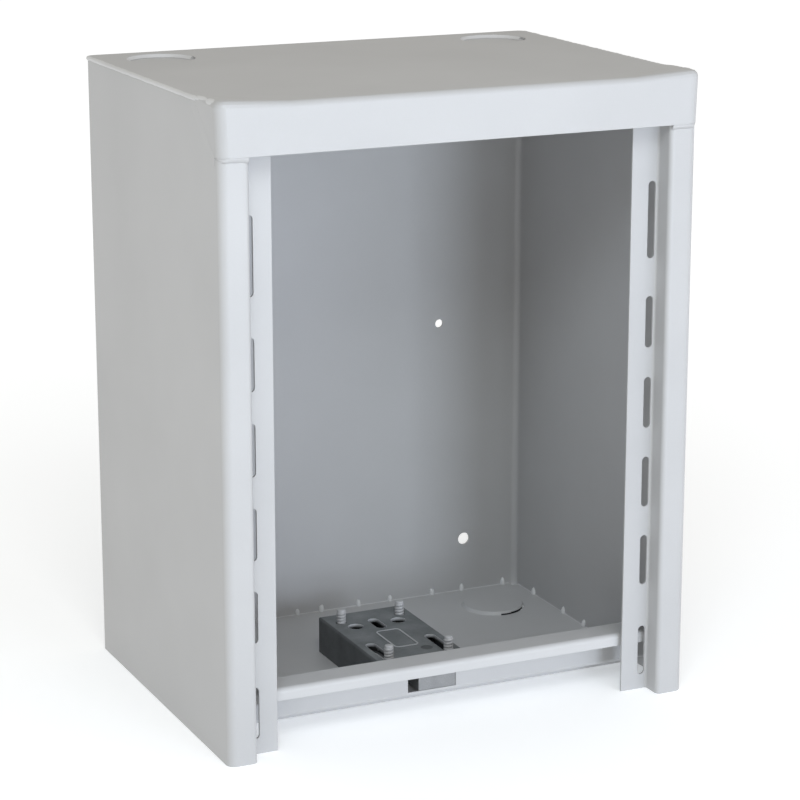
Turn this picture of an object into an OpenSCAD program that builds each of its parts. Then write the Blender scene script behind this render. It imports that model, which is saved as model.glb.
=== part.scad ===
// Roadside utility cabinet of folded sheet steel, wall hung, shown without its door.
// Millimetres, +Z up. The front faces -Y. The origin is the middle of the footprint, on the ground.
// The floor carries a lever lock whose bolt slides forward through the apron under the sill.

/* [Cabinet] */
// Outer width of the folded body
body_w = 400; // [340:1:520]
// Outer depth of the folded body, from the jambs' front to the back
body_d = 300; // [270:1:420]
// Height of the top sheet
body_h = 510; // [480:1:700]
// Thickness of the sheet
sheet = 2; // [1.5:0.1:2.5]
// Inside radius of the body's four corners
bend_r = 5; // [3:0.1:6]
// Inside radius of the jambs' and the pan's folds
fold_r = 2; // [1.5:0.1:2.5]

/* [Jambs] */
// Width of each front strip, from the side to the recess
strip_w = 24; // [20:0.5:30]
// Depth of the door recess, down to the inner strips
recess = 18; // [16:0.5:24]
// Width of each inner strip, from the recess wall to its free edge
inner_strip_w = 23.5; // [20:0.5:32]
// Width of the door slots
slot_w = 6.5; // [5:0.1:8]
// Distance from the recess wall to a slot
slot_inset = 2; // [1.5:0.1:4]
// Length of the top door slot
top_slot_len = 62; // [50:1:70]
// Distance from the cabinet's top to the upper end of the top slot
top_slot_drop = 85.5; // [70:0.5:95]
// Web between the top slot and the next one
top_slot_web = 30.8; // [24:0.2:40]
// Web between two of the regular slots
slot_web = 24.4; // [16:0.2:30]
// Height of the lower end of the lowest regular slot
regular_slot_z = 90.5; // [80:0.5:100]
// Height of the lower end of the bottom slot
bottom_slot_z = 12.5; // [8:0.5:20]

/* [Hood] */
// Height of the front lip, down from the top sheet
lip_h = 39; // [30:0.5:50]
// Inside radius of the lip's bend
hood_bend_r = 3; // [2:0.1:4]
// How far the hood's front corners stand proud of the sides
lip_over = 1.8; // [0.8:0.1:3]
// How far their lower ends stand proud of the sides
lip_foot = 0.5; // [0.3:0.1:1.5]
// How far the hood's front corners rise above its top
corner_rise = 2.6; // [1:0.1:4]
// Radius of the rounding over a raised corner
corner_round = 5; // [4:0.5:6]
// Length of a raised corner along the side and along the lip
lip_wrap = 57; // [40:1:80]
// Gap between the hood's corners and the body
cheek_gap = 0.1; // [0.05:0.05:0.3]

/* [Base] */
// Height of the floor's underside above the ground
floor_rise = 1; // [0.5:0.1:3]
// Gap between the inner strips and the sill's lip
sill_gap = 4; // [2:0.5:8]
// Depth of the sill, from the lip to the apron
sill_d = 26; // [24:0.5:36]
// Height of the sill's top
sill_z = 48; // [44:0.5:60]
// Height of the sill's lip
sill_lip_h = 10; // [8:0.5:14]
// Depth of the step between the apron and the floor
step_d = 22.6; // [18:0.2:30]
// Notch at each rear corner of the floor
corner_notch = 6.5; // [6.5:0.5:9]

/* [Openings] */
// Diameter of the wall fixing holes
wall_hole_d = 11; // [8:0.5:14]
// Distance from a wall fixing hole to the nearest side
wall_hole_side = 55; // [40:0.5:70]
// Distance from a wall fixing hole to the nearest end of the cabinet
wall_hole_inset = 52; // [45:1:70]
// Diameter of the two holes at mid height
mid_hole_d = 7.5; // [5:0.5:10]
// Distance from a hole at mid height to the nearest side
mid_hole_side = 80.5; // [70:0.5:100]
// Diameter of the cable knockouts
knockout_d = 56; // [40:1:64]
// Distance from a knockout's middle to the nearest side
knockout_side = 50; // [40:0.5:70]
// Distance from the back to the middle of a top knockout
top_knockout_back = 42; // [38:1:60]
// Distance from the back to the middle of a floor knockout
floor_knockout_back = 52; // [42:1:60]
// How far a knockout is pressed into the cabinet
knockout_press = 3; // [1.5:0.1:5]
// How far a knockout's side slopes inward over that
knockout_run = 2; // [0.5:0.1:4]
// Width of the slits where a knockout is sheared
slit_w = 1; // [0.6:0.1:1.5]

/* [Lock case] */
// Width of the lock
lock_w = 78; // [76:0.5:90]
// Length of the lock, front to back
lock_len = 127; // [122:0.5:140]
// Thickness of the case's walls
lock_wall = 3; // [2:0.1:3.5]
// Thickness of the cover plate under the case
cover_t = 2; // [1.5:0.1:3]
// Radius of the case's outer edges
case_edge_r = 2.5; // [1:0.1:2.8]
// Gap between the lock and the bend at the floor's front
lock_gap = 0.4; // [0.2:0.1:1]
// Diameter of the two round windows in the case's top
port_d = 13; // [8:0.5:14]
// Distance between the two round windows
port_span = 39.4; // [36:0.1:42]
// Width of the embossed frame on the case's top
frame_w = 22; // [16:0.5:28]
// Length of the embossed frame
frame_len = 43; // [30:0.5:46]
// Distance from the lock's front to the middle of the embossed frame
frame_from_front = 50.5; // [48:0.5:53]
// Width of the frame's raised line
frame_line = 1.4; // [0.8:0.1:2]
// Height of the frame's raised line
frame_rise = 0.5; // [0.3:0.1:1]
// Diameter of the round casting mark on the case's top
mark_d = 10; // [6:0.5:12]
// Depth of the casting mark
mark_depth = 0.3; // [0.2:0.1:0.6]
// Distance from the lock's front to the casting mark
mark_y = 20; // [14:0.5:22]
// Distance from the lock's middle to the casting mark
mark_x = 13; // [8:0.5:16]

/* [Lock fastening] */
// Diameter of the studs that hold the lock
stud_d = 8; // [6:0.5:8]
// Clearance round a stud
stud_play = 0.5; // [0.3:0.1:0.8]
// Distance between the studs, across
stud_span = 54; // [52:0.5:56]
// Distance from the lock's front to the front studs
front_stud_y = 8; // [8:0.5:11]
// Distance from the lock's back to the rear studs
rear_stud_back = 22; // [19:0.5:24]
// Length of the slots in the case for the front studs
stud_slot_len = 44.5; // [30:0.5:50]
// How far the studs stand above the case
stud_above = 12; // [6:0.5:18]
// Diameter of the cover screws
screw_d = 3; // [2.5:0.1:3.2]
// Length of the cover screws
screw_len = 14; // [10:0.5:20]
// Diameter of the case's screw bosses
boss_d = 6; // [5.5:0.1:6.2]
// How far a boss runs into the case's wall
boss_bury = 1.8; // [1.6:0.1:2]
// Clearance round a cover screw
screw_play = 0.05; // [0.02:0.01:0.1]
// Distance from the lock's front to the front screws
front_screw_y = 27; // [24:0.5:34]
// Distance from the front screws to the rear screws
screw_reach = 57; // [50:0.5:60]

/* [Bolt] */
// Width of the bolt's head
bolt_w = 33; // [28:0.5:34]
// Height of the bolt's head
bolt_h = 14; // [10:0.5:15]
// Travel of the bolt
bolt_throw = 18; // [12:0.5:20]
// Length of the bolt's head inside the case
head_inside = 30; // [26:0.5:31]
// Running clearance round the bolt
bolt_play = 0.3; // [0.2:0.1:0.5]
// Thickness of the bolt's tail
tail_t = 4; // [3:0.1:5]
// Width of the bolt's tail
tail_w = 10; // [9:0.5:12]
// Room behind the bolt's tail, inside the case
tail_room = 12; // [6:0.5:20]
// Side of the square stump under the tail
stump = 5; // [4:0.1:5.2]
// Distance from the lock's front to the stump, bolt drawn back
stump_y = 76; // [74:0.5:77]
// Diameter of the guide pin in the tail's slot
guide_d = 5; // [4:0.1:5.5]
// Distance from the lock's front to the guide pin
guide_y = 44; // [42:0.5:46]
// Spare width of the apron's window beside the bolt
window_spare = 9.5; // [4:0.5:12]

/* [Levers] */
// Thickness of one lever
lever_t = 2.6; // [2:0.1:3]
// Gap between two levers
lever_gap = 0.6; // [0.3:0.1:1]
// Height of the lowest lever above the cover plate
lever_lift = 1; // [0.6:0.1:2]
// Width of a lever
lever_w = 14.5; // [14:0.1:15]
// Distance from the keyhole to the middle of the levers, across
lever_x = 11.5; // [11.5:0.1:12]
// Diameter of the post that the levers turn on
post_d = 8; // [6:0.1:9]
// Running clearance of a lever on its post
post_play = 0.05; // [0.02:0.01:0.1]
// Distance from the lock's front to the post
post_y = 39; // [38.5:0.5:42]
// Distance from the lock's front to the end of the levers
lever_end = 100; // [96:0.5:101]
// Clearance of the stump in a lever's gate
gate_play = 0.4; // [0.3:0.05:0.6]
// Room for a lever's swing on each side of the stump
pocket_room = 2.2; // [2:0.05:2.4]
// Gap between the levers and the bolt's tail
tail_gap = 1.9; // [1.5:0.1:3]
// Thickness of the washers between the levers
washer_t = 0.5; // [0.3:0.05:0.5]
// Thickness of a spring leaf
leaf_t = 0.6; // [0.3:0.1:1]
// Length of a leaf's seat on its block
leaf_seat = 12; // [8:0.5:14]
// Gap between a leaf's tip and its lever
leaf_gap = 2.4; // [2.2:0.1:4]
// Room between a leaf's tip and the rear stud's hole, front to back
leaf_room = 13.5; // [8:0.5:18]

/* [Keyhole] */
// Width of the keyhole
keyhole_w = 9; // [6:0.5:10]
// Length of the keyhole
keyhole_len = 25; // [18:0.5:26]
// Distance from the lock's front to the middle of the keyhole
keyhole_y = 91; // [90:0.5:92]

/* [Hidden] */
$fn = 64;
paint = "#c6cacd";
case_grey = "#50555a";
steel = "#a8abae";
spring_steel = "#7d8186";

// Depth planes: the jambs' front and the back, with the lip's sheet in front of the jambs
front_y = -(body_d - sheet) / 2;
back_y = front_y + body_d;
wall_h = body_h - sheet;
half = sheet / 2;
cut = 4 * sheet;
lip_y = front_y - sheet;
lip_corner_r = bend_r + 2 * sheet;
slit_arcs = [[-80, -42], [-34, 4]];

// Base pan, from the lip back to the riser
sill_lip_y = front_y + recess + sheet + sill_gap;
apron_y = sill_lip_y + sill_d;
riser_y = apron_y + step_d;
floor_top = floor_rise + sheet;

// Lock: the lever stack sets its height
lever_count = 6;
belly_r = [9.4, 10.2, 8.8, 10.6, 9.8, 8.4];
lock_y = riser_y + sheet + fold_r + lock_gap;
cover_top = floor_top + cover_t;
lever_pitch = lever_t + lever_gap;
stack_z = cover_top + lever_lift;
stack_top = stack_z + lever_count * lever_pitch - lever_gap;
tail_z = stack_top + tail_gap;
bolt_top = tail_z + tail_t;
bolt_z = bolt_top - bolt_h;
case_ceiling = bolt_top + bolt_play;
case_top = case_ceiling + lock_wall;
stud_hole_d = stud_d + 2 * stud_play;
rear_stud_y = lock_len - rear_stud_back;
inner_wall_x = lock_w / 2 - lock_wall;
tail_end = lock_len - lock_wall - tail_room;
screw_x = inner_wall_x - boss_d / 2 + boss_bury;

// Leaf springs: from the block on the case's wall to a tip beside the levers
leaf_root = [inner_wall_x - 3, post_y + 14];
leaf_tip = [lever_x + lever_w / 2 + leaf_gap + leaf_t, rear_stud_y - stud_hole_d / 2 - leaf_room];
leaf_run = leaf_tip - leaf_root;

// The step passes under the bolt with this much room
step_room = 2;
step_top = bolt_z - step_room;

slot_x = body_w / 2 - strip_w - slot_inset - slot_w / 2;
slot_y = front_y + recess + half;
top_slot_z = body_h - top_slot_drop - top_slot_len;
slot_count = 4;
slot_len = (top_slot_z - top_slot_web - regular_slot_z - (slot_count - 1) * slot_web) / slot_count;
slots = [
    [bottom_slot_z + slot_len / 2, slot_len],
    for (i = [0:slot_count - 1]) [regular_slot_z + slot_len / 2 + i * (slot_len + slot_web), slot_len],
    [top_slot_z + top_slot_len / 2, top_slot_len]
];

// Places across, from the sides in
wall_hole_x = body_w / 2 - wall_hole_side;
mid_hole_x = body_w / 2 - mid_hole_side;
knockout_x = body_w / 2 - knockout_side;

// Middle line of the folded body, from one inner strip's free edge round to the other
side_x = body_w / 2 - half;
return_x = body_w / 2 - strip_w + half;
free_x = body_w / 2 - strip_w - inner_strip_w;
half_path = [
    [free_x, slot_y],
    [return_x, slot_y],
    [return_x, front_y + half],
    [side_x, front_y + half],
    [side_x, back_y - half]
];
body_path = concat(
    half_path,
    [for (i = [len(half_path) - 1:-1:0]) [-half_path[i].x, half_path[i].y]]
);
body_bends = [fold_r, fold_r, bend_r, bend_r, bend_r, bend_r, fold_r, fold_r];

// Middle lines of the hood and of the base pan, as (Y, Z)
hood_path = [
    [back_y, wall_h + half],
    [front_y - half, wall_h + half],
    [front_y - half, body_h - lip_h]
];
pan_path = [
    [back_y - sheet, floor_rise + half],
    [riser_y + half, floor_rise + half],
    [riser_y + half, step_top - half],
    [apron_y + half, step_top - half],
    [apron_y + half, sill_z - half],
    [sill_lip_y + half, sill_z - half],
    [sill_lip_y + half, sill_z - sill_lip_h]
];
pan_bends = [fold_r, fold_r, fold_r, fold_r, fold_r];

function unit(v) = v / norm(v);

// Sheet of thickness t along a path with square turns, each a bend with its own inside radius
module folded_sheet(path, t, bends) {
    last = len(path) - 1;
    mid_r = concat([0], [for (r = bends) r + t / 2], [0]);
    for (i = [0:last - 1]) {
        along = unit(path[i + 1] - path[i]);
        start = path[i] + along * mid_r[i];
        finish = path[i + 1] - along * mid_r[i + 1];
        span = finish - start;
        translate((start + finish) / 2)
            square([abs(span.x) + t * abs(along.y), abs(span.y) + t * abs(along.x)], center = true);
    }
    for (i = [1:last - 1]) {
        outward = unit(path[i] - path[i - 1]) - unit(path[i + 1] - path[i]);
        reach = mid_r[i] + t;
        translate(path[i] - mid_r[i] * outward)
            intersection() {
                difference() {
                    circle(mid_r[i] + t / 2);
                    circle(mid_r[i] - t / 2);
                }
                translate([outward.x > 0 ? 0 : -reach, outward.y > 0 ? 0 : -reach]) square(reach);
            }
    }
}

// Outline with round ends, its length along Y
module obround(w, length) {
    square([w, length - w], center = true);
    for (side = [-1, 1])
        translate([0, side * (length - w) / 2]) circle(d = w);
}

// Rectangle with round corners
module rounded(w, length, r) {
    square([w - 2 * r, length], center = true);
    square([w, length - 2 * r], center = true);
    for (sx = [-1, 1], sy = [-1, 1])
        translate([sx * (w / 2 - r), sy * (length / 2 - r)]) circle(r);
}

// Profile in (Y, Z) drawn out along X, centred
module along_x(length) {
    rotate([90, 0, 90]) linear_extrude(height = length, center = true) children();
}

// Outline in (X, Z) cut or drawn through Y, centred at y
module through_y(y, length) {
    translate([0, y, 0]) rotate([90, 0, 0]) linear_extrude(height = length, center = true) children();
}

// Children moved to the lock: X from its middle, Y from its front
module in_lock() {
    translate([0, lock_y, 0]) children();
}

// Form of a knockout on one face of its sheet: a blunt cone from that face, up if press is positive
module knockout_cone(x, y, z, press) {
    wide = knockout_d / 2;
    narrow = wide - knockout_run;
    up = press > 0;
    translate([x, y, z + min(press, 0)])
        cylinder(r1 = up ? wide : narrow, r2 = up ? narrow : wide, h = abs(press));
    translate([x, y, up ? z - half : z]) cylinder(r = wide, h = half);
}

// Slits along the foot of a knockout's side, through a sheet whose underside is at z
module knockout_slits(x, y, z) {
    r = knockout_d / 2;
    translate([x, y, z - sheet]) linear_extrude(height = 3 * sheet)
        for (arc = slit_arcs)
            intersection() {
                difference() {
                    circle(r);
                    circle(r - slit_w);
                }
                polygon([[0, 0], 2 * r * [cos(arc[0]), sin(arc[0])], 2 * r * [cos(arc[1]), sin(arc[1])]]);
            }
}

// Back, sides and both slotted jambs, folded from one sheet
module body_shell() {
    color(paint)
        difference() {
            linear_extrude(height = wall_h) folded_sheet(body_path, sheet, body_bends);
            for (side = [-1, 1], slot = slots)
                through_y(slot_y, cut) translate([side * slot_x, slot[0]]) obround(slot_w, slot[1]);
            for (side = [-1, 1]) {
                for (z = [wall_hole_inset, body_h - wall_hole_inset])
                    through_y(back_y - half, cut) translate([side * wall_hole_x, z]) circle(d = wall_hole_d);
                through_y(back_y - half, cut) translate([side * mid_hole_x, body_h / 2]) circle(d = mid_hole_d);
            }
            translate([-body_w, front_y - sheet, wall_h - hood_bend_r])
                cube([2 * body_w, sheet + hood_bend_r, 2 * hood_bend_r]);
        }
}

// Hood's outline from above, round at its four corners
module hood_plan() {
    hood_d = body_d + sheet;
    translate([0, back_y - hood_d / 2]) {
        translate([0, lip_corner_r / 2]) rounded(body_w, hood_d - lip_corner_r, bend_r + sheet);
        rounded(body_w, hood_d, lip_corner_r);
    }
}

// Hood's front corner: proud of the side, raised at its tip, running out along the side and the lip
module hood_corner(side) {
    middle = [body_w / 2 - lip_corner_r, lip_y + lip_corner_r];
    tip_z = body_h + corner_rise - corner_round;
    slice = half / 10;
    outer_r = hood_bend_r + sheet;
    hull() {
        translate([side * (middle.x + lip_foot), middle.y, body_h - lip_h])
            cylinder(r = lip_corner_r, h = sheet, $fn = 32);
        for (a = [0:30:90])
            translate([side * (middle.x + lip_over), middle.y, tip_z + corner_round * sin(a) - slice])
                cylinder(r = lip_corner_r - corner_round * (1 - cos(a)), h = slice, $fn = 32);
        translate([side * (body_w / 2 - sheet), front_y + 0.65 * lip_wrap, wall_h])
            cylinder(r1 = sheet, r2 = half, h = sheet + 0.6 * corner_rise, $fn = 16);
        translate([side * (body_w / 2 - half), front_y + lip_wrap, wall_h])
            cylinder(r = half, h = sheet, $fn = 16);
        translate([side * (body_w / 2 - lip_wrap), lip_y + outer_r, body_h - outer_r])
            rotate([0, 90, 0]) cylinder(r = outer_r, h = slice, center = true, $fn = 32);
    }
}

// Both front corners, hollowed out for the body under them
module hood_corners() {
    difference() {
        for (side = [-1, 1]) hood_corner(side);
        linear_extrude(height = wall_h)
            translate([0, (front_y + back_y) / 2])
                rounded(body_w + 2 * cheek_gap, body_d, bend_r + sheet);
    }
}

// Top sheet with the front lip, its raised corners and two cable knockouts
module top_hood() {
    knock_y = back_y - top_knockout_back;
    color(paint)
        difference() {
            union() {
                intersection() {
                    along_x(2 * body_w) folded_sheet(hood_path, sheet, [hood_bend_r]);
                    linear_extrude(height = 2 * body_h) hood_plan();
                }
                hood_corners();
                for (side = [-1, 1])
                    knockout_cone(side * knockout_x, knock_y, wall_h, -knockout_press);
            }
            for (side = [-1, 1]) {
                knockout_cone(side * knockout_x, knock_y, body_h, -knockout_press);
                knockout_slits(side * knockout_x, knock_y, wall_h);
            }
        }
}

// Floor, step, apron, sill and lip, folded from one sheet, with the keyhole and the bolt's window
module base_pan() {
    knock_y = back_y - floor_knockout_back;
    inner_w = body_w - 2 * sheet;
    color(paint)
        difference() {
            union() {
                along_x(inner_w) folded_sheet(pan_path, sheet, pan_bends);
                for (side = [-1, 1])
                    knockout_cone(side * knockout_x, knock_y, floor_top, knockout_press);
            }
            for (side = [-1, 1]) {
                knockout_cone(side * knockout_x, knock_y, floor_rise, knockout_press);
                knockout_slits(side * knockout_x, knock_y, floor_rise);
                translate([side * inner_w / 2, back_y - sheet, floor_rise])
                    cube([2 * corner_notch, 2 * corner_notch, cut], center = true);
            }
            in_lock() translate([0, keyhole_y, 0])
                linear_extrude(height = floor_top + half) obround(keyhole_w, keyhole_len);
            translate([-bolt_w / 2 - window_spare, apron_y - sheet, bolt_z - bolt_play])
                cube([bolt_w + window_spare + bolt_play, 3 * sheet, bolt_h + 2 * bolt_play]);
        }
}

// Four studs that stand on the floor and pass through the lock
module lock_studs() {
    tip = stud_d / 8;
    stud_h = case_top + stud_above - floor_top;
    color(paint) in_lock()
        for (x = [-1, 1], y = [front_stud_y, rear_stud_y])
            translate([x * stud_span / 2, y, floor_top]) {
                cylinder(d = stud_d, h = stud_h - tip);
                translate([0, 0, stud_h - tip]) cylinder(d1 = stud_d, d2 = stud_d - 2 * tip, h = tip);
            }
}

// Outside of the case: round at its upright corners and along its top edges
module case_block() {
    block_h = case_top - cover_top;
    lower_r = case_edge_r;
    intersection() {
        linear_extrude(height = block_h)
            translate([0, lock_len / 2]) rounded(lock_w, lock_len, case_edge_r);
        translate([0, lock_len / 2, 0]) rotate([90, 0, 0])
            linear_extrude(height = 2 * lock_len, center = true)
                round_topped(lock_w, block_h, lower_r);
        translate([0, lock_len / 2, 0])
            along_x(2 * lock_w) round_topped(lock_len, block_h, lower_r);
    }
}

// Rectangle that stands on the axis, round at its two upper corners
module round_topped(w, h, r) {
    translate([-w / 2, 0]) square([w, h - r]);
    translate([-w / 2 + r, 0]) square([w - 2 * r, h]);
    for (side = [-1, 1])
        translate([side * (w / 2 - r), h - r]) circle(r);
}

// Case of the lock: a box open below, with screw bosses and the openings of its top
module lock_case() {
    ceiling = case_ceiling - cover_top;
    roof = case_top - cover_top;
    color(case_grey) in_lock() translate([0, 0, cover_top])
        difference() {
            union() {
                difference() {
                    case_block();
                    translate([-inner_wall_x, lock_wall, -1])
                        cube([2 * inner_wall_x, lock_len - 2 * lock_wall, ceiling + 1]);
                }
                for (x = [-1, 1], y = [front_screw_y, front_screw_y + screw_reach])
                    translate([x * screw_x, y, 0]) cylinder(d = boss_d, h = ceiling + 1);
                translate([0, frame_from_front, roof - 1])
                    linear_extrude(height = 1 + frame_rise)
                        difference() {
                            rounded(frame_w, frame_len, 3 * frame_line);
                            rounded(frame_w - 2 * frame_line, frame_len - 2 * frame_line, 2 * frame_line);
                        }
            }
            for (x = [-1, 1]) {
                translate([x * stud_span / 2, rear_stud_y, ceiling - 1]) cylinder(d = stud_hole_d, h = 2 * lock_wall);
                translate([x * stud_span / 2, front_stud_y - stud_hole_d / 2 + stud_slot_len / 2, ceiling - 1])
                    linear_extrude(height = 2 * lock_wall) obround(stud_hole_d, stud_slot_len);
                translate([x * port_span / 2, keyhole_y, ceiling - 1]) cylinder(d = port_d, h = 2 * lock_wall);
                for (y = [front_screw_y, front_screw_y + screw_reach])
                    translate([x * screw_x, y, -1]) cylinder(d = screw_d + 2 * screw_play, h = screw_len);
            }
            translate([0, keyhole_y, ceiling - 1])
                linear_extrude(height = 2 * lock_wall) obround(keyhole_w, keyhole_len);
            translate([mark_x, mark_y, roof - mark_depth]) cylinder(d = mark_d, h = lock_wall);
            translate([-bolt_w / 2 - bolt_play, -1, bolt_z - bolt_play - cover_top])
                cube([bolt_w + 2 * bolt_play, lock_wall + 2, bolt_h + 2 * bolt_play]);
        }
}

// Plate that closes the case from below and lies on the floor
module lock_cover_plate() {
    bore = screw_d + 2 * screw_play;
    color(case_grey) in_lock() translate([0, 0, floor_top])
        difference() {
            translate([0, lock_len / 2, 0]) linear_extrude(height = cover_t)
                rounded(lock_w, lock_len, case_edge_r);
            for (x = [-1, 1]) {
                for (y = [front_stud_y, rear_stud_y])
                    translate([x * stud_span / 2, y, -1]) cylinder(d = stud_hole_d, h = cover_t + 2);
                for (y = [front_screw_y, front_screw_y + screw_reach])
                    translate([x * screw_x, y, 0]) {
                        translate([0, 0, -1]) cylinder(d = bore, h = cover_t + 2);
                        cylinder(d1 = bore + screw_d, d2 = bore, h = screw_d / 2);
                    }
            }
            translate([0, keyhole_y, -1])
                linear_extrude(height = cover_t + 2) obround(keyhole_w, keyhole_len);
        }
}

// Four countersunk screws that hold the cover plate to the case
module cover_screws() {
    color(steel) in_lock()
        for (x = [-1, 1], y = [front_screw_y, front_screw_y + screw_reach])
            translate([x * screw_x, y, floor_top]) {
                cylinder(d1 = 2 * screw_d, d2 = screw_d, h = screw_d / 2);
                cylinder(d = screw_d, h = screw_len);
            }
}

// Pin under the case's top that guides the bolt's tail
module bolt_guide_pin() {
    foot = tail_gap / 2;
    color(steel) in_lock() translate([lever_x, guide_y, tail_z - foot])
        cylinder(d = guide_d, h = case_ceiling - tail_z + foot);
}

// Post on the cover plate that the levers turn on, with a collar under the lowest
module lever_post() {
    rim = lever_lift - lever_gap / 4;
    color(steel) in_lock() translate([lever_x, post_y, cover_top]) {
        cylinder(d = post_d, h = stack_top + tail_gap / 2 - cover_top);
        cylinder(d = post_d + 4, h = rim);
    }
}

// Washers on the post, one between each two levers
module lever_washers() {
    color(steel) in_lock()
        for (i = [1:lever_count - 1])
            translate([lever_x, post_y, stack_z + i * lever_pitch - (lever_gap + washer_t) / 2])
                linear_extrude(height = washer_t)
                    difference() {
                        circle(d = post_d + 4);
                        circle(d = post_d + 2 * post_play);
                    }
}

// Children moved to the leaves: X along a leaf from its root, Y away from the case's wall
module along_leaf() {
    translate([leaf_root.x, leaf_root.y, 0])
        rotate([0, 0, atan2(leaf_run.y, leaf_run.x)]) children();
}

// Wedge on the case's wall that the leaf springs are fixed to
module spring_block() {
    color(steel) in_lock()
        translate([0, 0, stack_z]) linear_extrude(height = stack_top - stack_z)
            intersection() {
                along_leaf() translate([0, -lock_w]) square([leaf_seat, lock_w]);
                square([inner_wall_x, lock_len]);
            }
}

// Leaf springs, one beside each lever
module lever_springs() {
    color(spring_steel) in_lock()
        for (i = [0:lever_count - 1])
            translate([0, 0, stack_z + i * lever_pitch + lever_gap])
                linear_extrude(height = lever_t - 2 * lever_gap)
                    along_leaf() square([norm(leaf_run), leaf_t]);
}

// Bolt: a solid head, a slotted tail above the levers, and the stump that the gates let pass
module lock_bolt() {
    head_y = apron_y - lock_y;
    notch_w = 12;
    notch_d = tail_w / 2 - 0.3;
    color(steel) in_lock() {
        translate([-bolt_w / 2, head_y, bolt_z]) cube([bolt_w, head_inside - head_y, bolt_h]);
        difference() {
            translate([lever_x - tail_w / 2, head_inside - 1, tail_z])
                cube([tail_w, tail_end - head_inside + 1, tail_t]);
            translate([lever_x, guide_y + bolt_throw / 2, tail_z - 1])
                linear_extrude(height = tail_t + 2)
                    obround(guide_d + 2 * post_play, bolt_throw + guide_d + 2 * bolt_play);
            translate([lever_x - tail_w / 2 - 1, keyhole_y - notch_w / 2, tail_z - 1])
                cube([notch_d + 1, notch_w, tail_t + 2]);
        }
        translate([lever_x - stump / 2, stump_y - stump / 2, stack_z - lever_lift / 2])
            cube([stump, stump, tail_z - stack_z + lever_lift / 2 + 1]);
    }
}

// One lever: pivot hole, two pockets joined by a gate, and a belly for the key
module lever(i) {
    pocket = [stump + 2 * pocket_room, stump + 2 * gate_play];
    color(steel) in_lock() translate([0, 0, stack_z + i * lever_pitch])
        linear_extrude(height = lever_t)
            difference() {
                union() {
                    translate([lever_x, post_y]) circle(d = lever_w);
                    translate([lever_x - lever_w / 2, post_y]) square([lever_w, lever_end - post_y]);
                }
                translate([lever_x, post_y]) circle(d = post_d + 2 * post_play);
                for (y = [stump_y, stump_y - bolt_throw])
                    translate([lever_x, y]) square(pocket, center = true);
                translate([lever_x, stump_y - bolt_throw / 2])
                    square([stump + 2 * gate_play, bolt_throw], center = true);
                translate([0, keyhole_y]) circle(belly_r[i]);
            }
}

body_shell();
top_hood();
base_pan();
lock_studs();
lock_case();
lock_cover_plate();
cover_screws();
bolt_guide_pin();
lever_post();
lever_washers();
spring_block();
lever_springs();
lock_bolt();
lever(0);  // lever_1
lever(1);  // lever_2
lever(2);  // lever_3
lever(3);  // lever_4
lever(4);  // lever_5
lever(5);  // lever_6
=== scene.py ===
"""Looks of a wall-hung utility cabinet: powder coat, cast lock, weld beads and stud threads."""

import math

import bmesh
import bpy
from mathutils import Matrix, Vector, noise


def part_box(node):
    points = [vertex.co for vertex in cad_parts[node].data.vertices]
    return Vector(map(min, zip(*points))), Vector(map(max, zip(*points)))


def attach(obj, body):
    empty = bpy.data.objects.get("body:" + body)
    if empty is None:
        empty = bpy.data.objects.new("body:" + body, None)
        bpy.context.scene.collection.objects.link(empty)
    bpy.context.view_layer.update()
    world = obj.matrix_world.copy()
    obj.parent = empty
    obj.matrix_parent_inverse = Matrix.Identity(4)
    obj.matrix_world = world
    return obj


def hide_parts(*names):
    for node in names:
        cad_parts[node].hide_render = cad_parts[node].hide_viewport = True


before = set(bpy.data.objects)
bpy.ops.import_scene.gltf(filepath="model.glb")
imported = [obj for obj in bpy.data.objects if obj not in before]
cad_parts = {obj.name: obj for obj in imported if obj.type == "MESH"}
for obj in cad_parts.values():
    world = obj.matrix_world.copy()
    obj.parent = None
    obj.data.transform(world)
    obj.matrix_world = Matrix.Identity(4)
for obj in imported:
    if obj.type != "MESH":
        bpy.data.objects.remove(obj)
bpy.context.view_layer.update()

# Sizes of the sheet and the case that the solids' boxes don't give, in metres
SHEET = 0.002
STRIP_W = 0.024
BEND_R = 0.007
FRAME_RISE = 0.0005

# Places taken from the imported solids
body_low, body_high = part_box("body_shell")
hood_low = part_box("top_hood")[0]
stud_low, stud_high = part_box("lock_studs")
case_low, case_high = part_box("lock_case")
case_top = case_high.z - FRAME_RISE
floor_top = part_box("lock_cover_plate")[0].z
floor_front = case_low.y
inner_x = body_high.x - SHEET
inner_back = body_high.y - SHEET
wall_top = body_high.z
lip_bottom = hood_low.z

# Sizes of the studs and their thread
STUD_R = 0.004
STUD_SIDES = 32
STUD_CHAMFER = 0.0006
TIP_TOLERANCE = 1e-6
THREAD_PITCH = 0.0026
THREAD_FOOT = 0.47 * THREAD_PITCH
THREAD_CREST = 0.30 * THREAD_PITCH
THREAD_STEPS = 24
THREAD_SINK = 0.0001
THREAD_BELOW_CASE_TOP = 0.006
FRONT_THREAD_DEPTH = 0.0006
REAR_THREAD_DEPTH = 0.0004

# Openings of the case's top: across from its middle, back from its front, half length and radius
CASE_HOLES = (
    (0.0197, 0.0910, 0.0, 0.0065),
    (0.0, 0.0910, 0.0080, 0.0045),
    (0.0270, 0.02575, 0.01775, 0.0045),
)
WALL_SKIN = 0.00015
# Depth over which the openings' bright bare walls fade into painted shade
WALL_SHADE_DEPTH = 0.0030

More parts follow.
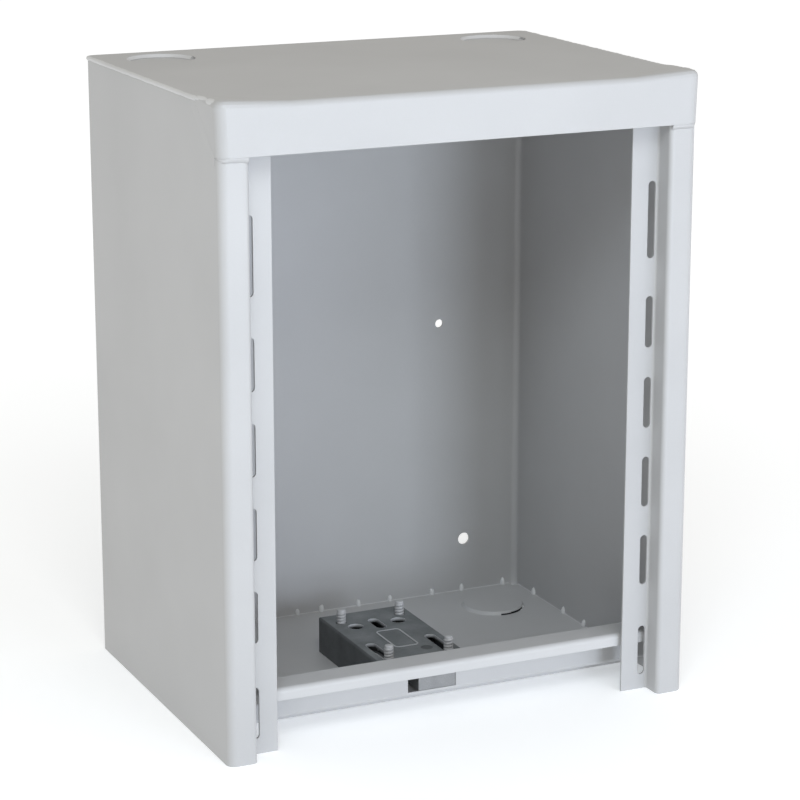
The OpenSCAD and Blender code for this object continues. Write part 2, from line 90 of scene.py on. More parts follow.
# Pressed knockouts of the top and the floor, with angles in degrees
KNOCKOUT_X = 0.150
TOP_KNOCKOUT_Y = 0.109
FLOOR_KNOCKOUT_Y = 0.099
KNOCKOUT_R = 0.028
KNOCKOUT_RUN = 0.002
KNOCKOUT_PRESS = 0.003
SLIT_W = 0.001
SLIT_ARCS = ((-80, -42), (-34, 4))
CRACK_TALL = 0.0010
CRACK_TURN = 21
RIM_GAP = 2
RIM_MARGIN = 0.1
BAND_SKIN = 0.00012
BAND_STEP = 3

# Tack welds: their size, their unevenness, and where they sit along the back and the side walls
TACK_LONG = 0.0022
TACK_OUT = 0.0026
TACK_TALL = 0.0044
TACK_RISE = 0.35 * TACK_TALL
TACK_SINK = 0.0008
TACK_SPREAD = 0.22
TACK_LUMPS = 0.14
BACK_TACKS = (-0.185, -0.143, -0.096, -0.052, -0.019, 0.004, 0.040, 0.071, 0.113, 0.143, 0.185)
SIDE_TACKS = (0.111, 0.054, 0.016, -0.030, -0.068)

# Seam welds and paint lines: their size, how deep they are bedded, and how far short of a wall they end
SEAM_R = 0.0019
SEAM_BED = 0.3 * SEAM_R
SEAM_SIDES = 10
SEAM_PIECE = 0.0006
SEAM_MEAN = 0.94
SEAM_SWELL = 0.20
SIDE_SEAM_FRONT = 0.045
SIDE_SEAM_BACK = 0.006
BACK_SEAM_END = 0.008
FLOOR_SEAM_R = 0.0006
FLOOR_SEAM_BED = 0.2 * FLOOR_SEAM_R
FLOOR_SEAM_END = 0.007

# Fillets under the lip's ends: their section, with its step off the left and the right strip
FILLET_DROP = 0.0038
FILLET_STEPS = {-1: 0.0004, 1: 0.00015}
FILLET_LAP = 0.0004
FILLET_SINK = 0.0003
FILLET_BELLY = 0.35 * FILLET_DROP
FILLET_BELLY_BACK = 0.0003
FILLET_INSET = 0.001

# How a fillet runs out round the body's bend: it turns by so many degrees, thins, lifts and ripples
FILLET_TURN = 80
FILLET_TURN_STEPS = 10
FILLET_LONG_EDGE = 0.4 * STRIP_W
FILLET_CUTS = 20
FILLET_THINNING = 0.75
FILLET_LIFT = 0.7
FILLET_LIFT_POWER = 5
FILLET_RIPPLE = 0.0009
FILLET_RIPPLE_BELOW = 0.2 * FILLET_DROP

# Raised corners of the hood: where their sides run out at the back and at the front
CORNER_BACK = -0.092
CORNER_FRONT = -0.142
CHEEK_SINK = 0.00002
CHEEK_ROOT = 0.0004
CHEEK_DROP = 0.009

# Ground welds on a raised corner: in from the wall's face, ahead of the corner's back, above the wall.
# A lump then has its half length and its radius
CORNER_LUMPS = (
    (0.0016, 0.027, 0.0016, 0.020, 0.0023),
    (0.0016, 0.041, 0.0014, 0.011, 0.0031),
)
CORNER_SEAM = (
    (0.0008, 0.002, 0.0007),
    (0.0016, 0.032, 0.0022),
)

# The stage's floor: its half width, and how its glow grows with the distance from the cabinet
FLOOR_HALF = 9.0
GLOW_SPAN = (0.4, 1.8)
GLOW_STRENGTH = (0.33, 0.52)

# The camera: its place in metres, its sensor and lens in millimetres, and its angles in degrees
CAMERA_PLACE = (-0.8910, -1.9578, 0.8007)
CAMERA_SENSOR = 36.0
CAMERA_LENS = 121.85
CAMERA_DOWN = 14.765
CAMERA_TURN = -24.775


# Shader groups for what the finishes share

SURFACE_OUTPUTS = (
    ("Tone", "NodeSocketFloat"),
    ("Rough", "NodeSocketFloat"),
    ("Normal", "NodeSocketVector"),
)
MARK_OUTPUTS = (
    ("Wall", "NodeSocketFloat"),
    ("Top", "NodeSocketFloat"),
    ("Line", "NodeSocketFloat"),
)
NOISE_SPAN = (0.3, 0.7)
MIX_FIRST = 6
MIX_SECOND = 7
MIX_RESULT = 2


def new_group(name, outputs):
    """An empty shader group with the named outputs, and its output node."""
    group = bpy.data.node_groups.new(name, "ShaderNodeTree")
    for label, kind in outputs:
        group.interface.new_socket(label, in_out="OUTPUT", socket_type=kind)
    return group, group.nodes.new("NodeGroupOutput")


def put_out(group, out, **values):
    """Links each value to the group's output of that name."""
    for label, value in values.items():
        group.links.new(value, out.inputs[label])


def add_object_coords(tree):
    return tree.nodes.new("ShaderNodeTexCoord").outputs["Object"]


def add_noise(tree, coords, scale, detail, rough=0.5):
    node = tree.nodes.new("ShaderNodeTexNoise")
    node.inputs["Scale"].default_value = scale
    node.inputs["Detail"].default_value = detail
    node.inputs["Roughness"].default_value = rough
    tree.links.new(coords, node.inputs["Vector"])
    return node.outputs["Fac"]


def add_range(tree, value, span, target):
    """A value carried from one span to another, held at its ends."""
    node = tree.nodes.new("ShaderNodeMapRange")
    node.inputs["From Min"].default_value = span[0]
    node.inputs["From Max"].default_value = span[1]
    node.inputs["To Min"].default_value = target[0]
    node.inputs["To Max"].default_value = target[1]
    tree.links.new(value, node.inputs["Value"])
    return node.outputs["Result"]


def add_math(tree, operation, first, second=0.0):
    """A sum on a value and a second one, which is a socket or a plain number."""
    node = tree.nodes.new("ShaderNodeMath")
    node.operation = operation
    tree.links.new(first, node.inputs[0])
    if isinstance(second, float):
        node.inputs[1].default_value = second
    else:
        tree.links.new(second, node.inputs[1])
    return node.outputs["Value"]


def add_length(tree, vector):
    node = tree.nodes.new("ShaderNodeVectorMath")
    node.operation = "LENGTH"
    tree.links.new(vector, node.inputs[0])
    return node.outputs["Value"]


def add_bump(tree, height, normal, strength, distance):
    node = tree.nodes.new("ShaderNodeBump")
    node.inputs["Strength"].default_value = strength
    node.inputs["Distance"].default_value = distance
    tree.links.new(height, node.inputs["Height"])
    tree.links.new(normal, node.inputs["Normal"])
    return node.outputs["Normal"]


def add_soft_edges(tree, radius):
    node = tree.nodes.new("ShaderNodeBevel")
    node.samples = 4
    node.inputs["Radius"].default_value = radius
    return node.outputs["Normal"]


def powder_surface(name, soft):
    """Fine orange peel of a powder coat, with a faint cloud in its tone and, if soft, rounded edges."""
    group, out = new_group(name, SURFACE_OUTPUTS)
    coords = add_object_coords(group)
    cloud = add_noise(group, coords, scale=9.0, detail=3.0)
    specks = add_noise(group, coords, scale=1400.0, detail=2.0, rough=0.6)
    peel = add_noise(group, coords, scale=420.0, detail=2.0)
    if soft:
        normal = add_soft_edges(group, radius=0.0005)
    else:
        normal = group.nodes.new("ShaderNodeNewGeometry").outputs["Normal"]
    normal = add_bump(group, peel, normal, strength=0.10, distance=0.0006)
    normal = add_bump(group, specks, normal, strength=0.06, distance=0.0002)
    cloud_tone = add_range(group, cloud, NOISE_SPAN, (0.0, 0.7))
    speck_tone = add_range(group, specks, NOISE_SPAN, (0.0, 0.3))
    tone = add_math(group, "ADD", cloud_tone, speck_tone)
    rough = add_range(group, specks, NOISE_SPAN, (0.40, 0.52))
    put_out(group, out, Tone=tone, Rough=rough, Normal=normal)
    return group


def cast_surface():
    """Grain of a cast and tumbled case, with paler rubbed patches."""
    group, out = new_group("cast_surface", SURFACE_OUTPUTS)
    coords = add_object_coords(group)
    patches = add_noise(group, coords, scale=38.0, detail=4.0, rough=0.6)
    grain = add_noise(group, coords, scale=1500.0, detail=3.0, rough=0.65)
    dents = add_noise(group, coords, scale=240.0, detail=2.0)
    normal = add_soft_edges(group, radius=0.0006)
    normal = add_bump(group, dents, normal, strength=0.12, distance=0.0005)
    normal = add_bump(group, grain, normal, strength=0.22, distance=0.0002)
    tone = add_range(group, patches, (0.35, 0.72), (0.0, 1.0))
    rough = add_range(group, grain, NOISE_SPAN, (0.46, 0.62))
    put_out(group, out, Tone=tone, Rough=rough, Normal=normal)
    return group


def drawn_surface():
    """Fine lines along Y of milled and drawn steel, with faint stains."""
    group, out = new_group("drawn_surface", SURFACE_OUTPUTS)
    coords = add_object_coords(group)
    stretch = group.nodes.new("ShaderNodeMapping")
    stretch.inputs["Scale"].default_value = (1.0, 0.03, 1.0)
    group.links.new(coords, stretch.inputs["Vector"])
    lines = add_noise(group, stretch.outputs["Vector"], scale=2200.0, detail=3.0, rough=0.7)
    stains = add_noise(group, coords, scale=90.0, detail=3.0)
    normal = add_soft_edges(group, radius=0.0004)
    normal = add_bump(group, lines, normal, strength=0.10, distance=0.0001)
    tone = add_math(group, "MULTIPLY", lines, add_range(group, stains, NOISE_SPAN, (0.7, 1.3)))
    rough = add_range(group, lines, NOISE_SPAN, (0.30, 0.46))
    put_out(group, out, Tone=tone, Rough=rough, Normal=normal)
    return group


def add_hole_reach(tree, across, y, hole):
    """How far a point of the case lies from the middle line of an opening or of its mirror image."""
    x, back, half = hole[:3]
    along = add_math(tree, "SUBTRACT", y, case_low.y + back)
    past_end = add_math(tree, "SUBTRACT", add_math(tree, "ABSOLUTE", along), half)
    offset = tree.nodes.new("ShaderNodeCombineXYZ")
    tree.links.new(add_math(tree, "SUBTRACT", across, x), offset.inputs["X"])
    tree.links.new(add_math(tree, "MAXIMUM", past_end, 0.0), offset.inputs["Y"])
    return add_length(tree, offset.outputs["Vector"])


def case_marks():
    """Masks for the casting: its openings' bare metal walls, darker deeper down as painted shade; its
    top, for a lighter tone that is painted light; and the rubbed embossed line.
    """
    group, out = new_group("case_marks", MARK_OUTPUTS)
    place = group.nodes.new("ShaderNodeSeparateXYZ")
    group.links.new(add_object_coords(group), place.inputs["Vector"])
    across = add_math(group, "ABSOLUTE", place.outputs["X"])
    height = place.outputs["Z"]
    walls = None
    for hole in CASE_HOLES:
        radius = hole[-1]
        reach = add_hole_reach(group, across, place.outputs["Y"], hole)
        wall = add_math(group, "LESS_THAN", reach, radius + WALL_SKIN)
        walls = wall if walls is None else add_math(group, "MAXIMUM", walls, wall)
    # Painted shade: the bare walls are bright near the top and fade to the casting's colour deeper down
    lit_near_top = add_range(group, height, (case_top - WALL_SHADE_DEPTH, case_top - WALL_SKIN), (0.0, 1.0))
    walls = add_math(group, "MULTIPLY", walls, lit_near_top)
    # The top gets a lighter tone: painted light, as if more light falls on it from above
    top = add_math(group, "GREATER_THAN", height, case_top - WALL_SKIN)
    line = add_math(group, "GREATER_THAN", height, case_top + FRAME_RISE / 2)
    put_out(group, out, Wall=walls, Top=top, Line=line)
    return group


# Finishes

def make_finish(name, surface, dark, light, metallic=0.0, specular=0.5):
    """A Principled material whose colour runs from dark to light over the surface's tone."""
    material = bpy.data.materials.new(name)
    material.use_nodes = True
    tree = material.node_tree
    shader = tree.nodes["Principled BSDF"]
    shader.inputs["Metallic"].default_value = metallic
    shader.inputs["Specular IOR Level"].default_value = specular
    detail = tree.nodes.new("ShaderNodeGroup")
    detail.node_tree = surface
    ramp = tree.nodes.new("ShaderNodeValToRGB")
    ramp.color_ramp.elements[0].color = (*dark, 1.0)
    ramp.color_ramp.elements[1].color = (*light, 1.0)
    tree.links.new(detail.outputs["Tone"], ramp.inputs["Fac"])
    tree.links.new(ramp.outputs["Color"], shader.inputs["Base Color"])
    tree.links.new(detail.outputs["Rough"], shader.inputs["Roughness"])
    tree.links.new(detail.outputs["Normal"], shader.inputs["Normal"])
    return material


def add_overlay(material, mask, colour, blend="MIX"):
    """Lays a colour over a finish's own, where the mask is 1."""
    tree = material.node_tree
    target = tree.nodes["Principled BSDF"].inputs["Base Color"]
    mix = tree.nodes.new("ShaderNodeMix")
    mix.data_type = "RGBA"
    mix.blend_type = blend
    tree.links.new(mask, mix.inputs["Factor"])
    tree.links.new(target.links[0].from_socket, mix.inputs[MIX_FIRST])
    mix.inputs[MIX_SECOND].default_value = (*colour, 1.0)
    tree.links.new(mix.outputs[MIX_RESULT], target)


powder = powder_surface("powder_surface", soft=True)
filler = powder_surface("filler_surface", soft=False)
cast = cast_surface()
drawn = drawn_surface()

PAINT_DARK = (0.435, 0.436, 0.438)
PAINT_LIGHT = (0.475, 0.476, 0.478)
PAINT = make_finish("light_grey_powder_coat", powder, PAINT_DARK, PAINT_LIGHT)
FILLER = make_finish("painted_filler", filler, PAINT_DARK, PAINT_LIGHT)
# The pan's coat is a lighter copy of the body's powder coat: painted light for the extra light on the
# floor, the sill and the apron
PAN_PAINT_LIT = make_finish("pan_powder_coat_painted_lighter", powder, (0.495, 0.497, 0.500), (0.540, 0.542, 0.545))
CASE = make_finish("dark_grey_casting", cast, (0.085, 0.092, 0.094), (0.135, 0.143, 0.145),
                   metallic=0.2, specular=0.4)
# Welds and pooled paint take a lighter, glossier copy of the paint; its lighter colour is a painted
# highlight
LIT_WELD = make_finish("weld_paint_painted_highlight", filler, (0.56, 0.562, 0.565), (0.64, 0.642, 0.645), specular=0.6)
# Tack welds take a still lighter copy of the paint: a painted highlight on the beads
TACK = make_finish("tack_weld_painted_highlight", filler, (0.62, 0.625, 0.63), (0.76, 0.765, 0.77), specular=0.7)
STEEL = make_finish("milled_steel", drawn, (0.30, 0.305, 0.31), (0.50, 0.505, 0.51), metallic=0.85)
BOLT = make_finish("worn_bolt_steel", drawn, (0.19, 0.194, 0.20), (0.39, 0.394, 0.40), metallic=0.85)
# Near-black bands that paint the shadow inside the floor knockouts' slits and crack
SLIT_SHADOW = make_finish("slit_painted_shadow", cast, (0.010, 0.010, 0.011), (0.030, 0.030, 0.032),
                      metallic=0.3, specular=0.3)
SPRING = make_finish("blued_spring_steel", drawn, (0.14, 0.15, 0.17), (0.24, 0.25, 0.27), metallic=0.9)

marks = CASE.node_tree.nodes.new("ShaderNodeGroup")
marks.node_tree = case_marks()
# Painted light: the case's top is lightened by a factor, standing in for light falling on it from above
add_overlay(CASE, marks.outputs["Top"], (1.75, 1.75, 1.75), "MULTIPLY")
# Bare metal on the openings' walls, darker deeper down as painted shade
add_overlay(CASE, marks.outputs["Wall"], (0.60, 0.61, 0.62))
add_overlay(CASE, marks.outputs["Line"], (0.50, 0.51, 0.52))

# Nodes that aren't named here are plain milled steel
NODE_FINISHES = {
    "body_shell": PAINT,
    "top_hood": PAINT,
    "base_pan": PAN_PAINT_LIT,
    "lock_studs": PAINT,
    "lock_case": CASE,
    "lock_cover_plate": CASE,
    "lock_bolt": BOLT,
    "lever_springs": SPRING,
}
for name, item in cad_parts.items():
    for place in item.material_slots:
        place.material = NODE_FINISHES.get(name, STEEL)


# Pieces

def add_piece(name, bm, finish, smooth=True):
    """A mesh object in the part's own frame that rides on the cabinet."""
    bmesh.ops.recalc_face_normals(bm, faces=bm.faces[:])
    mesh = bpy.data.meshes.new(name)
    bm.to_mesh(mesh)
    bm.free()
    mesh.materials.append(finish)
    if smooth:
        mesh.shade_smooth()
    item = bpy.data.objects.new(name, mesh)
    bpy.context.scene.collection.objects.link(item)
    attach(item, "cabinet")
    return item


def wobble(point, seed, scale):
    """A repeatable unevenness between -1 and 1 at a point of a weld."""
    return noise.noise(Vector((seed, 0.0, 0.0)) + scale * Vector(point))


def only_verts(geom):
    return [g for g in geom if isinstance(g, bmesh.types.BMVert)]


def edges_of(verts, wanted):
    """The edges at these vertices that are wanted, each once."""
    return list(dict.fromkeys(e for v in verts for e in v.link_edges if wanted(e)))


def sweep_section(bm, points, centre, angle, steps, climb=0.0):
    """A closed section swept round an upright axis, with a climb at each step and a face at each end."""
    ring = [bm.verts.new(point) for point in points]
    edges = [bm.edges.new((ring[i], ring[(i + 1) % len(ring)])) for i in range(len(ring))]
    bm.faces.new(ring)
    made = bmesh.ops.spin(bm, geom=ring + edges, cent=centre, axis=(0, 0, 1), dvec=(0, 0, climb),
                          angle=angle, steps=steps, use_merge=False)
    bm.faces.new(only_verts(made["geom_last"]))


def add_rod(bm, x, y, low, high, radius):
    """An upright round rod between two heights; gives its vertices."""
    height = high - low
    made = bmesh.ops.create_cone(bm, cap_ends=True, segments=STUD_SIDES, radius1=radius, radius2=radius,
                                 depth=height, matrix=Matrix.Translation((x, y, low + height / 2)))
    return made["verts"]


def is_stud_tip(edge):
    return all(abs(v.co.z - stud_high.z) < TIP_TOLERANCE for v in edge.verts)


def add_stud(bm, x, y, depth):
    """One stud: a shank, a thinner core with a chamfered tip, and a thread ridge swept round it."""
    thread_low = case_top - THREAD_BELOW_CASE_TOP
    core_r = STUD_R - depth
    add_rod(bm, x, y, stud_low.z, thread_low, STUD_R)
    core = add_rod(bm, x, y, thread_low, stud_high.z, core_r)
    bmesh.ops.bevel(bm, geom=edges_of(core, is_stud_tip), offset=STUD_CHAMFER, segments=2, profile=0.5,
                    affect="EDGES", material=-1)
    root_r = core_r - THREAD_SINK
    start = thread_low + THREAD_PITCH
    lower = ((root_r, -THREAD_FOOT), (STUD_R, -THREAD_CREST))
    upper = ((STUD_R, THREAD_CREST), (root_r, THREAD_FOOT))
    turns = int((stud_high.z - STUD_CHAMFER - start - THREAD_FOOT) / THREAD_PITCH)
    ridge = [(x + r, y, start + z) for r, z in lower + upper]
    sweep_section(bm, ridge, (x, y, 0), 2 * math.pi * turns, turns * THREAD_STEPS,
                  climb=THREAD_PITCH / THREAD_STEPS)


def threaded_studs():
    """The four studs with a painted coarse thread above the case, in the place of the plain ones."""
    bm = bmesh.new()
    for x in (stud_low.x + STUD_R, stud_high.x - STUD_R):
        add_stud(bm, x, stud_low.y + STUD_R, FRONT_THREAD_DEPTH)
        add_stud(bm, x, stud_high.y - STUD_R, REAR_THREAD_DEPTH)
    studs = add_piece("threaded_studs", bm, PAINT)
    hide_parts("lock_studs")


def add_tack(bm, centre, turn, seed):
    """One tack weld: a squat uneven bead that climbs the wall from the floor's edge."""
    bead = bmesh.ops.create_uvsphere(bm, u_segments=18, v_segments=12, radius=1.0)["verts"]
    grow = 1.0 + TACK_SPREAD * wobble(centre, seed, scale=60.0)
    for v in bead:
        v.co *= 1.0 + TACK_LUMPS * wobble(v.co, seed, scale=1.6)
    bmesh.ops.scale(bm, verts=bead, vec=(TACK_LONG * grow, TACK_OUT, TACK_TALL * grow))
    bmesh.ops.rotate(bm, verts=bead, cent=(0, 0, 0), matrix=Matrix.Rotation(turn, 3, "Z"))
    bmesh.ops.translate(bm, verts=bead, vec=centre)
    reach = inner_x + TACK_SINK
    for v in bead:
        v.co.x = max(-reach, min(reach, v.co.x))
        v.co.y = min(inner_back + TACK_SINK, v.co.y)
        v.co.z = max(floor_top - TACK_SINK, v.co.z)


def floor_tacks():
    """Tack welds along the floor's seams with the back and the side walls."""
    bm = bmesh.new()
    height = floor_top + TACK_RISE
    seed = 1.0
    for x in BACK_TACKS:
        seed += 5.3
        add_tack(bm, Vector((x, inner_back, height)), 0.0, seed)
    for side in (-1, 1):
        for y in SIDE_TACKS:
            seed += 4.7
            add_tack(bm, Vector((side * inner_x, y, height)), math.pi / 2, seed)
    # In the bright tack colour, a painted highlight
    add_piece("floor_tack_welds", bm, TACK)


def add_seam(bm, start, end, radius, seed):
    """A run of weld along an edge: a round bar cut into short lengths, each swollen a little."""
    first = len(bm.verts)
    along = end - start
    direction = along.normalized()
    turn = along.to_track_quat("Z", "Y").to_matrix().to_4x4()
    made = bmesh.ops.create_cone(bm, cap_ends=True, segments=SEAM_SIDES, radius1=radius, radius2=radius,
                                 depth=along.length, matrix=Matrix.Translation((start + end) / 2) @ turn)
    lengthwise = edges_of(made["verts"], lambda e: e.calc_length() > along.length / 2)
    bmesh.ops.subdivide_edges(bm, edges=lengthwise, cuts=int(along.length / SEAM_PIECE))
    bm.verts.ensure_lookup_table()
    for v in bm.verts[first:]:
        run = (v.co - start).dot(direction)
        middle = start + direction * run
        swell = SEAM_MEAN + SEAM_SWELL * wobble((run, 0, 0), seed, scale=90.0)
        v.co = middle + (v.co - middle) * swell


def hood_seams():
    """The welds that join the top sheet to the sides and the back."""
    bm = bmesh.new()
    z = wall_top + SEAM_BED
    for side in (-1, 1):
        x = side * (body_high.x - SEAM_BED)
        start = Vector((x, body_low.y + SIDE_SEAM_FRONT, z))
        end = Vector((x, body_high.y - SIDE_SEAM_BACK, z))
        add_seam(bm, start, end, SEAM_R, seed=3.0 + side)
    y = body_high.y - SEAM_R - SEAM_BED
    start = Vector((body_low.x + BACK_SEAM_END, y, wall_top))
    end = Vector((body_high.x - BACK_SEAM_END, y, wall_top))
    add_seam(bm, start, end, SEAM_R, seed=9.0)
    # The seam beads carry a painted highlight in the lighter weld colour
    add_piece("hood_seam_welds", bm, LIT_WELD)


def floor_seams():
    """Thin lines of pooled paint in the corner between the floor and the walls, in the lighter weld
    colour as a painted highlight.
    """
    bm = bmesh.new()
    z = floor_top + FLOOR_SEAM_BED
    y = inner_back - FLOOR_SEAM_BED
    start = Vector((-inner_x + FLOOR_SEAM_END, y, z))
    end = Vector((inner_x - FLOOR_SEAM_END, y, z))
    add_seam(bm, start, end, FLOOR_SEAM_R, seed=14.0)
    for side in (-1, 1):
        x = side * (inner_x - FLOOR_SEAM_BED)
        start = Vector((x, floor_front, z))
        end = Vector((x, inner_back - FLOOR_SEAM_END, z))
        add_seam(bm, start, end, FLOOR_SEAM_R, seed=17.0 + side)
    add_piece("floor_seam_lines", bm, LIT_WELD)


def run_out_fillet(verts, side, bend):
    """Thins and lifts a fillet where it goes round the bend, and ripples its lower edge."""
    for v in verts:
        turn = max(0.0, side * (v.co.x - bend.x)) / BEND_R
        if turn > 0.0:
            out = Vector((v.co.x - bend.x, v.co.y - bend.y, 0.0))
            reach = BEND_R + (out.length - BEND_R) * (1.0 - FILLET_THINNING * min(1.0, turn))
            v.co.xy = (bend + out.normalized() * reach).xy
        v.co.z += FILLET_LIFT * max(0.0, lip_bottom - v.co.z) * min(1.0, turn) ** FILLET_LIFT_POWER
        if v.co.z < lip_bottom - FILLET_RIPPLE_BELOW:
            v.co.z += FILLET_RIPPLE * wobble((v.co.x, v.co.y, 0), 4.0 + side, scale=160.0)


def add_fillet(bm, side):
    """One fillet: a section drawn out along the front strip and spun on round the body's bend."""
    first = len(bm.verts)
    front = hood_low.y
    back = body_low.y + FILLET_SINK
    foot = body_low.y - FILLET_STEPS[side]
    high = lip_bottom + FILLET_LAP
    low = lip_bottom - FILLET_DROP
    belly = (front + FILLET_BELLY_BACK, lip_bottom - FILLET_BELLY)
    section = ((front, high), belly, (foot, low), (back, low), (back, high))
    bend = Vector((side * (body_high.x - BEND_R), body_low.y + BEND_R, 0.0))
    inner = side * (body_high.x - STRIP_W + FILLET_INSET)
    ring = [bm.verts.new((inner, y, z)) for y, z in section]
    end = bmesh.ops.extrude_face_region(bm, geom=[bm.faces.new(ring)])["geom"]
    bmesh.ops.translate(bm, verts=only_verts(end), vec=(bend.x - inner, 0, 0))
    bmesh.ops.spin(bm, geom=end, cent=bend, axis=(0, 0, 1), angle=side * math.radians(FILLET_TURN),
                   steps=FILLET_TURN_STEPS, use_merge=False)
    bm.verts.ensure_lookup_table()
    lengthwise = edges_of(bm.verts[first:], lambda e: e.calc_length() > FILLET_LONG_EDGE)
    bmesh.ops.subdivide_edges(bm, edges=lengthwise, cuts=FILLET_CUTS)
    bm.verts.ensure_lookup_table()
    run_out_fillet(bm.verts[first:], side, bend)


def lip_fillets():
    """Weld fillets under the lip's ends, along the front strips and round the body's bends."""
    bm = bmesh.new()
    for side in (-1, 1):
        add_fillet(bm, side)
    add_piece("lip_fillet_welds", bm, PAINT)


def corner_place(side, inset, ahead, above):
    """A place on a raised corner: in from the wall's face, ahead of its back and above the wall."""
    return Vector((side * (body_high.x - inset), CORNER_BACK - ahead, wall_top + above))


def hood_corner_welds():
    """Ground welds along the upper edges of the raised corners, thicker towards the front."""
    bm = bmesh.new()
    for side in (-1, 1):
        for inset, ahead, above, half_long, radius in CORNER_LUMPS:
            lump = bmesh.ops.create_uvsphere(bm, u_segments=24, v_segments=24, radius=1.0)["verts"]
            bmesh.ops.scale(bm, verts=lump, vec=(radius, half_long, radius))
            bmesh.ops.translate(bm, verts=lump, vec=corner_place(side, inset, ahead, above))
        start, end = [corner_place(side, *place) for place in CORNER_SEAM]
        add_seam(bm, start, end, SEAM_R, seed=21.0 + side)
    # The corner lumps carry a painted highlight in the lighter weld colour
    add_piece("hood_corner_welds", bm, LIT_WELD)


def cheek_blends():
    """Filler under the raised corners' sides, which takes up their step on the walls."""
    bm = bmesh.new()
    wall = body_high.x - CHEEK_SINK
    foot_z = lip_bottom - CHEEK_DROP
    # Each corner of the filler: how far it stands off the wall, and its place along and up the wall
    corners = (
        (0.00012, CORNER_BACK - 0.0007, wall_top + 0.0009),
        (0.00038, CORNER_BACK - 0.0080, wall_top + 0.0005),
        (0.00057, CORNER_FRONT + 0.0008, lip_bottom + 0.0009),
        (0.0, CORNER_FRONT + 0.0011, foot_z),
        (0.0, CORNER_BACK + 0.0027, wall_top - 0.0036),
        (0.0, CORNER_FRONT + 0.0050, foot_z),
    )
    for side in (-1, 1):
        verts = []
        for off, y, z in corners:
            verts.append(bm.verts.new((side * (wall + off), y, z)))
            verts.append(bm.verts.new((side * (wall - CHEEK_ROOT), y, z)))
        bmesh.ops.convex_hull(bm, input=verts)
    add_piece("cheek_blends", bm, FILLER, smooth=False)


def band_section(first, last, skin):
    """A thin section between two points of radius and height, with a skin to either side of its line."""
    (first_r, first_z), (last_r, last_z), (skin_r, skin_z) = first, last, skin
    return (
        (first_r - skin_r, first_z - skin_z),
        (first_r + skin_r, first_z + skin_z),
        (last_r + skin_r, last_z + skin_z),
        (last_r - skin_r, last_z - skin_z),
    )


def add_band(bm, x, y, section, start, end):
    """A thin band round a knockout: a section swept between two angles in degrees."""
    turn = Matrix.Rotation(math.radians(start), 3, "Z")
    middle = Vector((x, y, 0.0))
    points = [middle + turn @ Vector((r, 0.0, z)) for r, z in section]
    sweep_section(bm, points, middle, math.radians(end - start), int((end - start) / BAND_STEP))


def knockout_slit_shadows():
    """Painted shadow: near-black bands in the floor knockouts' slits and along the crack that runs on
    from them, where the gaps lie in shade.
    """
    bm = bmesh.new()
    slit_r = KNOCKOUT_R - SLIT_W
    slit_low = floor_top - SHEET / 4
    slit_high = floor_top + KNOCKOUT_PRESS * SLIT_W / KNOCKOUT_RUN - BAND_SKIN
    slit = band_section((slit_r, slit_low), (slit_r, slit_high), (BAND_SKIN, 0.0))
    crack_r = KNOCKOUT_R - CRACK_TALL * KNOCKOUT_RUN / KNOCKOUT_PRESS
    crack_top = floor_top + CRACK_TALL
    crack = band_section((KNOCKOUT_R, floor_top), (crack_r, crack_top), (BAND_SKIN, BAND_SKIN))
    crack_end = SLIT_ARCS[0][0]
    for x in (-KNOCKOUT_X, KNOCKOUT_X):
        for start, end in SLIT_ARCS:
            add_band(bm, x, FLOOR_KNOCKOUT_Y, slit, start, end)
        add_band(bm, x, FLOOR_KNOCKOUT_Y, crack, crack_end - CRACK_TURN, crack_end)
    add_piece("knockout_slit_painted_shadows", bm, SLIT_SHADOW, smooth=False)


def knockout_rim_highlights():
    """Paint gathered on the pressed sides of the top's knockouts, away from their slits, in the lighter
    weld colour that paints a highlight on them.
    """
    bm = bmesh.new()
    top = wall_top + SHEET
    outer, inner = [(KNOCKOUT_R - share * KNOCKOUT_RUN, top - share * KNOCKOUT_PRESS)
                    for share in (RIM_MARGIN, 1.0 - RIM_MARGIN)]
    rim = band_section(outer, inner, (BAND_SKIN, -BAND_SKIN))
    start = SLIT_ARCS[1][1] + RIM_GAP
    end = 360 + SLIT_ARCS[0][0] - RIM_GAP
    for x in (-KNOCKOUT_X, KNOCKOUT_X):
        add_band(bm, x, TOP_KNOCKOUT_Y, rim, start, end)
    add_piece("knockout_rim_highlights", bm, LIT_WELD, smooth=False)


threaded_studs()
hood_corner_welds()
cheek_blends()
knockout_slit_shadows()
knockout_rim_highlights()
floor_tacks()
hood_seams()
floor_seams()
lip_fillets()


# Floor, light and camera

def add_floor():
    """A wide pale floor that glows a little, and more so away from the cabinet."""
    bm = bmesh.new()
    bmesh.ops.create_grid(bm, x_segments=1, y_segments=1, size=FLOOR_HALF)
    mesh = bpy.data.meshes.new("floor")
    bm.to_mesh(mesh)
    bm.free()
    material = bpy.data.materials.new("pale_floor")
    material.use_nodes = True
    tree = material.node_tree
    shader = tree.nodes["Principled BSDF"]
    shader.inputs["Base Color"].default_value = (0.90, 0.90, 0.90, 1.0)
    shader.inputs["Roughness"].default_value = 0.8
    shader.inputs["Emission Color"].default_value = (0.92, 0.96, 1.0, 1.0)
    reach = add_length(tree, add_object_coords(tree))
    glow = add_range(tree, reach, GLOW_SPAN, GLOW_STRENGTH)
    tree.links.new(glow, shader.inputs["Emission Strength"])
    mesh.materials.append(material)
    item = bpy.data.objects.new("floor", mesh)
    bpy.context.scene.collection.objects.link(item)


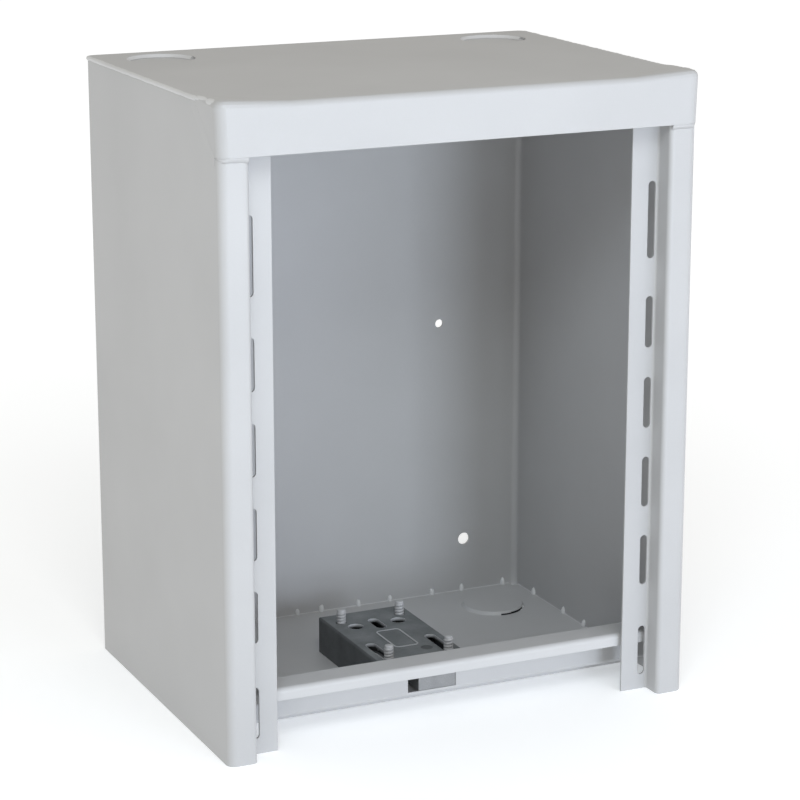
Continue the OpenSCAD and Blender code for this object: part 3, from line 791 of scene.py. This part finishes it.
def add_world():
    """Soft warm light from all round, with a white backdrop where the camera looks past the floor."""
    world = bpy.data.worlds.new("studio")
    bpy.context.scene.world = world
    world.use_nodes = True
    tree = world.node_tree
    light = tree.nodes["Background"]
    light.inputs["Color"].default_value = (1.0, 0.968, 0.911, 1.0)
    light.inputs["Strength"].default_value = 0.61
    backdrop = tree.nodes.new("ShaderNodeBackground")
    backdrop.inputs["Color"].default_value = (1.0, 1.0, 1.0, 1.0)
    choice = tree.nodes.new("ShaderNodeMixShader")
    tree.links.new(tree.nodes.new("ShaderNodeLightPath").outputs["Is Camera Ray"], choice.inputs["Fac"])
    tree.links.new(light.outputs["Background"], choice.inputs[1])
    tree.links.new(backdrop.outputs["Background"], choice.inputs[2])
    tree.links.new(choice.outputs["Shader"], tree.nodes["World Output"].inputs["Surface"])


def add_area(name, place, size, watts, colour):
    """A square soft light that faces the middle of the cabinet."""
    data = bpy.data.lights.new(name, "AREA")
    data.size = size
    data.energy = watts
    data.color = colour
    item = bpy.data.objects.new(name, data)
    item.location = place
    aim = Vector((0.0, 0.0, body_high.z / 2)) - Vector(place)
    item.rotation_euler = aim.to_track_quat("-Z", "Y").to_euler()
    bpy.context.scene.collection.objects.link(item)


def add_camera():
    """The camera at the photograph's angle, without shift."""
    data = bpy.data.cameras.new("photo_camera")
    data.sensor_width = CAMERA_SENSOR
    data.lens = CAMERA_LENS
    item = bpy.data.objects.new("photo_camera", data)
    item.location = CAMERA_PLACE
    item.rotation_euler = (math.radians(90.0 - CAMERA_DOWN), 0.0, math.radians(CAMERA_TURN))
    bpy.context.scene.collection.objects.link(item)
    bpy.context.scene.camera = item


add_floor()
add_world()
add_area("level_front", place=(0.4, -2.8, 0.42), size=0.7, watts=28.0, colour=(0.78, 0.87, 1.0))
add_area("high_left", place=(-1.6, -2.2, 2.4), size=1.0, watts=13.0, colour=(0.65, 0.80, 1.0))
add_area("low_right", place=(1.5, -2.8, 1.0), size=1.0, watts=10.0, colour=(0.68, 0.74, 1.0))
add_area("near_left", place=(-0.5, -1.3, 1.5), size=0.6, watts=7.3, colour=(0.97, 1.0, 0.97))
add_camera()
bpy.context.scene.view_settings.view_transform = "Standard"
